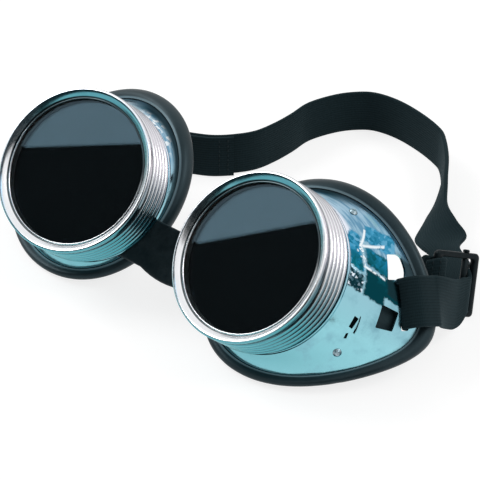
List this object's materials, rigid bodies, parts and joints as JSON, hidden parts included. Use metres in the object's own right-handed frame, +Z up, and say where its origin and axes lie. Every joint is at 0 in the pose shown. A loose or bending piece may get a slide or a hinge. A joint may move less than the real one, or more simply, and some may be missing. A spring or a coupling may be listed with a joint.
{
  "type": "screw-ring goggles",
  "caption": "Goggles with polished metal eyecups, ribbed screw rings over round dark glasses, rubber edge trims, a strap bridge and an elastic headband with a slide buckle.",
  "frame": {"origin": "on the table under the middle of the goggles' bounding box, as they lie at rest on the lower part of both edge trims and on the band's lower edge", "axes": "+X across the goggles from the left eyepiece to the right one, where left and right are as seen by someone who faces the glasses; +Y from the glasses back to the headband; +Z up off the table. The lens axes lean 45 degrees up out of the table towards -Y and +Z, and toe in by 4.5 degrees."},
  "size_m": [0.1712, 0.1494, 0.0579],
  "materials": {
    "polished_cup": "pressed and polished sheet metal",
    "polished_ring": "rolled and polished metal ring",
    "rubber_trim": "smooth extruded rubber tube, satin",
    "baffle_sheet": "plain pressed sheet",
    "rivet_metal": "flush rivet heads",
    "gasket_rubber": "flat moulded rubber",
    "dark_glass": "almost black filter glass, polished",
    "spacer_card": "thin stamped ring",
    "clear_glass": "clear polished cover glass",
    "washer_fibre": "stamped fibre",
    "bridge_leather": "smooth black strap",
    "band_elastic": "woven elastic, fine lengthwise ribs",
    "buckle_paint": "black lacquer",
    "pin_metal": "black lacquered wire"
  },
  "bodies": {
    "right_eyepiece": {"right_cup": "polished_cup", "right_edge_trim": "rubber_trim", "right_light_baffle": "baffle_sheet", "right_baffle_rivets": "rivet_metal", "right_seat_gasket": "gasket_rubber", "nose_bridge": "bridge_leather", "headband": "band_elastic"},
    "left_eyepiece": {"left_cup": "polished_cup", "left_edge_trim": "rubber_trim", "left_light_baffle": "baffle_sheet", "left_baffle_rivets": "rivet_metal", "left_seat_gasket": "gasket_rubber"},
    "right_glasses": {"right_filter_glass": "dark_glass", "right_glass_spacer": "spacer_card", "right_cover_glass": "clear_glass", "right_fibre_washer": "washer_fibre"},
    "left_glasses": {"left_filter_glass": "dark_glass", "left_glass_spacer": "spacer_card", "left_cover_glass": "clear_glass", "left_fibre_washer": "washer_fibre"},
    "right_ring": {"right_screw_ring": "polished_ring"},
    "left_ring": {"left_screw_ring": "polished_ring"},
    "buckle": {"buckle_frame": "buckle_paint", "buckle_pin": "pin_metal"}
  },
  "joints": [
    {"name": "bridge_fold", "type": "hinge", "parent": "right_eyepiece", "child": "left_eyepiece", "pos_m": [0, -0.04837, 0.0175], "axis": [0, 0.7071, 0.7071], "range_deg": [-12, 32], "deforming": ["nose_bridge", "headband"]},
    {"name": "right_glass_travel", "type": "slide", "parent": "right_eyepiece", "child": "right_glasses", "axis": [-0.0785, -0.7049, 0.7049], "range_m": [0, 0.0045]},
    {"name": "right_ring_turn", "type": "hinge", "parent": "right_glasses", "child": "right_ring", "pos_m": [0.03817, -0.0404, 0.02368], "axis": [-0.0785, -0.7049, 0.7049], "range_deg": [0, 720]},
    {"name": "left_glass_travel", "type": "slide", "parent": "left_eyepiece", "child": "left_glasses", "axis": [0.0785, -0.7049, 0.7049], "range_m": [0, 0.0045]},
    {"name": "left_ring_turn", "type": "hinge", "parent": "left_glasses", "child": "left_ring", "pos_m": [-0.03817, -0.0404, 0.02368], "axis": [0.0785, -0.7049, 0.7049], "range_deg": [0, 720]},
    {"name": "buckle_slide", "type": "slide", "parent": "right_eyepiece", "child": "buckle", "axis": [0.2998, 0.8513, -0.4305], "range_m": [-0.002, 0.008], "deforming": ["headband"]}
  ],
  "couplings": [
    {"joint": "right_glass_travel", "follows": "right_ring_turn", "m_per_rad": 0.00035014},
    {"joint": "left_glass_travel", "follows": "left_ring_turn", "m_per_rad": 0.00035014}
  ]
}
